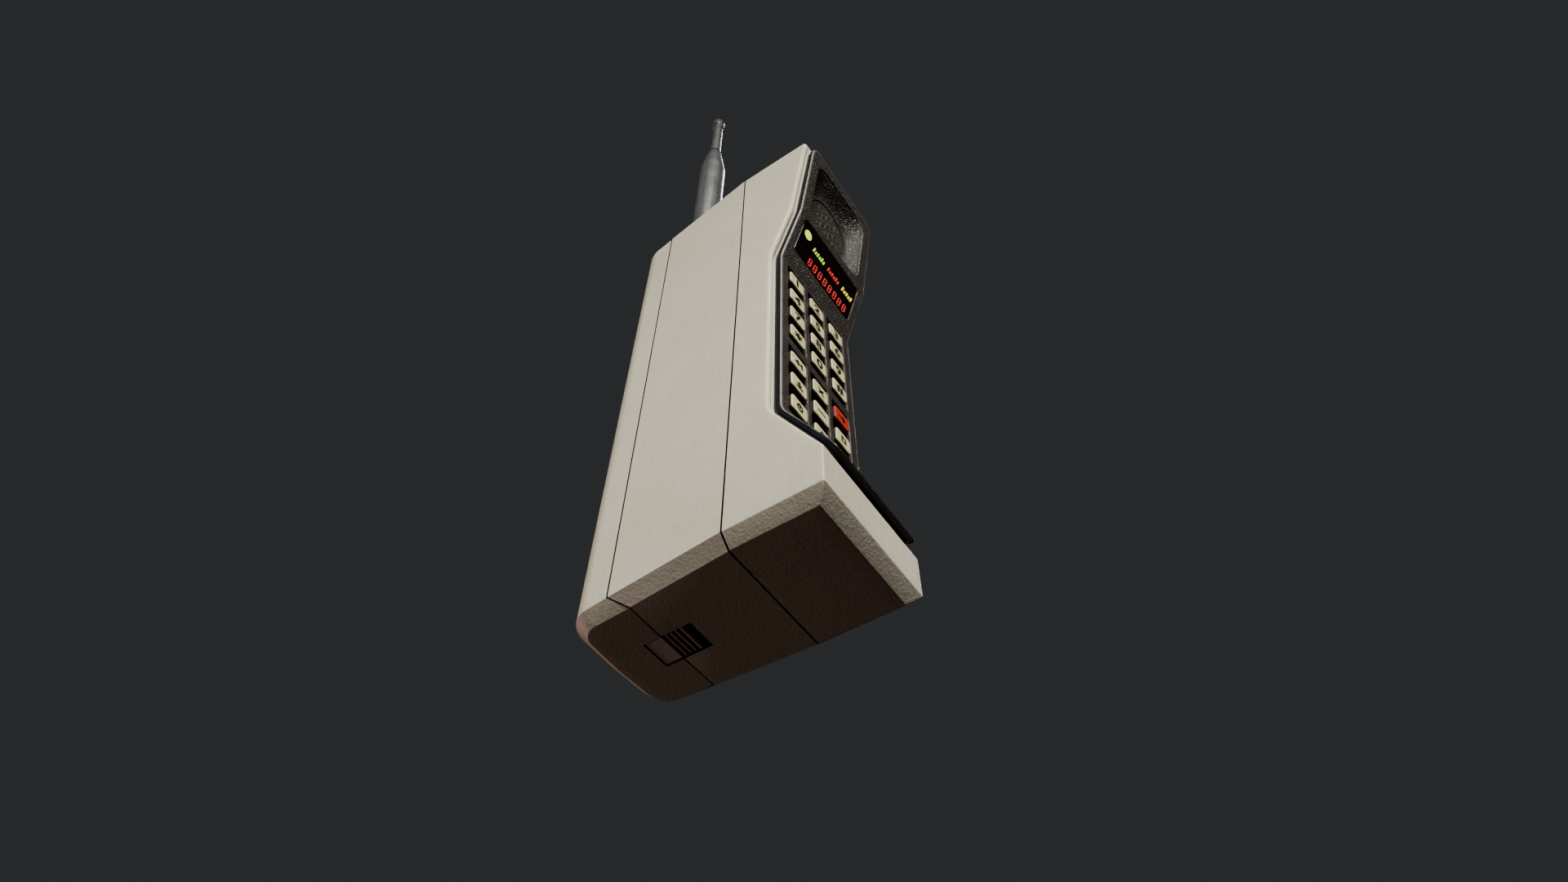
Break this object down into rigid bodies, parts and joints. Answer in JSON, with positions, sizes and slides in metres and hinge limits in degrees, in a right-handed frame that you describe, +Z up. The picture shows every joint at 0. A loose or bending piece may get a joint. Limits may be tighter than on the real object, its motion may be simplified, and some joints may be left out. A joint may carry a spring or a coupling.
{
  "type": "hand-held mobile telephone",
  "caption": "Early brick-shaped hand-held mobile telephone with a dark face plate, pushbutton keypad, lit display, clip-on battery and a rod antenna.",
  "frame": {"origin": "middle of the flat base it stands on", "axes": "+Z up along the case to the antenna, -Y the side with the keys, +X to the right as the user sees the keys"},
  "size_m": [0.0472, 0.0854, 0.33],
  "materials": {
    "case": "fine-grained cream moulding",
    "face": "dark warm grey, leather grain",
    "inner_plastic": "plain black moulding",
    "latch_plastic": "satin brown-grey",
    "rubber": "matt",
    "display_glass": "polished dark red-black lens",
    "lamp": "lit yellow-green lens",
    "key": "khaki cream, satin",
    "red_key": "red, satin",
    "board": "green circuit board",
    "tinned_steel": "tinned",
    "antenna_metal": "grey metal, satin",
    "brass": "plain",
    "cell": "shrink sleeve"
  },
  "bodies": {
    "housing": {"front_housing": "case", "rear_housing": "case", "face_plate": "face", "earpiece_grille": "face", "face_gasket": "rubber", "keypad_mat": "rubber", "display_window": "display_glass", "digit_display": "display_glass", "status_lamp": "lamp", "keypad_board": "board", "display_board": "board", "logic_board": "board", "radio_board": "board", "earpiece_speaker": "tinned_steel", "microphone": "tinned_steel", "radio_shield": "tinned_steel", "antenna_filter": "tinned_steel", "board_screw_1": "tinned_steel", "board_screw_2": "tinned_steel", "board_screw_3": "tinned_steel", "board_screw_4": "tinned_steel", "latch_spring": "tinned_steel", "antenna_socket": "brass", "battery_contact_minus": "brass", "battery_contact_plus": "brass"},
    "battery_pack": {"battery_case": "case", "battery_tray": "inner_plastic", "pack_board": "board", "pack_terminal_minus": "brass", "pack_terminal_plus": "brass", "battery_cell_1": "cell", "battery_cell_2": "cell", "battery_cell_3": "cell", "battery_cell_4": "cell", "battery_cell_5": "cell", "battery_cell_6": "cell"},
    "antenna_rod": {"antenna": "antenna_metal"},
    "latch": {"battery_latch": "latch_plastic"},
    "key_1": {"key_1": "key"},
    "key_2": {"key_2": "key"},
    "key_3": {"key_3": "key"},
    "key_4": {"key_4": "key"},
    "key_5": {"key_5": "key"},
    "key_6": {"key_6": "key"},
    "key_7": {"key_7": "key"},
    "key_8": {"key_8": "key"},
    "key_9": {"key_9": "key"},
    "key_star": {"key_star": "key"},
    "key_0": {"key_0": "key"},
    "key_hash": {"key_hash": "key"},
    "key_recall": {"key_recall": "key"},
    "key_clear": {"key_clear": "key"},
    "key_send": {"key_send": "red_key"},
    "key_store": {"key_store": "key"},
    "key_function": {"key_function": "key"},
    "key_end": {"key_end": "key"},
    "key_power": {"key_power": "key"},
    "key_lock": {"key_lock": "key"},
    "key_volume": {"key_volume": "key"}
  },
  "joints": [
    {"name": "key_1_press", "type": "slide", "parent": "housing", "child": "key_1", "axis": [0, 1, 0], "range_m": [0, 0.0008], "stiffness_N_per_m": 1500},
    {"name": "key_2_press", "type": "slide", "parent": "housing", "child": "key_2", "axis": [0, 1, 0], "range_m": [0, 0.0008], "stiffness_N_per_m": 1500},
    {"name": "key_3_press", "type": "slide", "parent": "housing", "child": "key_3", "axis": [0, 1, 0], "range_m": [0, 0.0008], "stiffness_N_per_m": 1500},
    {"name": "key_4_press", "type": "slide", "parent": "housing", "child": "key_4", "axis": [0, 1, 0], "range_m": [0, 0.0008], "stiffness_N_per_m": 1500},
    {"name": "key_5_press", "type": "slide", "parent": "housing", "child": "key_5", "axis": [0, 1, 0], "range_m": [0, 0.0008], "stiffness_N_per_m": 1500},
    {"name": "key_6_press", "type": "slide", "parent": "housing", "child": "key_6", "axis": [0, 1, 0], "range_m": [0, 0.0008], "stiffness_N_per_m": 1500},
    {"name": "key_7_press", "type": "slide", "parent": "housing", "child": "key_7", "axis": [0, 1, 0], "range_m": [0, 0.0008], "stiffness_N_per_m": 1500},
    {"name": "key_8_press", "type": "slide", "parent": "housing", "child": "key_8", "axis": [0, 1, 0], "range_m": [0, 0.0008], "stiffness_N_per_m": 1500},
    {"name": "key_9_press", "type": "slide", "parent": "housing", "child": "key_9", "axis": [0, 1, 0], "range_m": [0, 0.0008], "stiffness_N_per_m": 1500},
    {"name": "key_star_press", "type": "slide", "parent": "housing", "child": "key_star", "axis": [0, 1, 0], "range_m": [0, 0.0008], "stiffness_N_per_m": 1500},
    {"name": "key_0_press", "type": "slide", "parent": "housing", "child": "key_0", "axis": [0, 1, 0], "range_m": [0, 0.0008], "stiffness_N_per_m": 1500},
    {"name": "key_hash_press", "type": "slide", "parent": "housing", "child": "key_hash", "axis": [0, 1, 0], "range_m": [0, 0.0008], "stiffness_N_per_m": 1500},
    {"name": "key_recall_press", "type": "slide", "parent": "housing", "child": "key_recall", "axis": [0, 1, 0], "range_m": [0, 0.0008], "stiffness_N_per_m": 1500},
    {"name": "key_clear_press", "type": "slide", "parent": "housing", "child": "key_clear", "axis": [0, 1, 0], "range_m": [0, 0.0008], "stiffness_N_per_m": 1500},
    {"name": "key_send_press", "type": "slide", "parent": "housing", "child": "key_send", "axis": [0, 1, 0], "range_m": [0, 0.0008], "stiffness_N_per_m": 1500},
    {"name": "key_store_press", "type": "slide", "parent": "housing", "child": "key_store", "axis": [0, 1, 0], "range_m": [0, 0.0008], "stiffness_N_per_m": 1500},
    {"name": "key_function_press", "type": "slide", "parent": "housing", "child": "key_function", "axis": [0, 1, 0], "range_m": [0, 0.0008], "stiffness_N_per_m": 1500},
    {"name": "key_end_press", "type": "slide", "parent": "housing", "child": "key_end", "axis": [0, 1, 0], "range_m": [0, 0.0008], "stiffness_N_per_m": 1500},
    {"name": "key_power_press", "type": "slide", "parent": "housing", "child": "key_power", "axis": [0, 1, 0], "range_m": [0, 0.0008], "stiffness_N_per_m": 1500},
    {"name": "key_lock_press", "type": "slide", "parent": "housing", "child": "key_lock", "axis": [0, 1, 0], "range_m": [0, 0.0008], "stiffness_N_per_m": 1500},
    {"name": "key_volume_press", "type": "slide", "parent": "housing", "child": "key_volume", "axis": [0, 1, 0], "range_m": [0, 0.0008], "stiffness_N_per_m": 1500},
    {"name": "latch_slide", "type": "slide", "parent": "housing", "child": "latch", "axis": [0, -1, 0], "range_m": [0, 0.0028], "stiffness_N_per_m": 800},
    {"name": "battery_pack_off", "type": "slide", "parent": "housing", "child": "battery_pack", "axis": [0, 1, 0], "range_m": [0, 0.03]},
    {"name": "antenna_unscrew", "type": "hinge", "parent": "housing", "child": "antenna_rod", "pos_m": [-0.0141, 0.0163, 0.2065], "axis": [0, 0, 1], "range_deg": [0, 1080]}
  ]
}
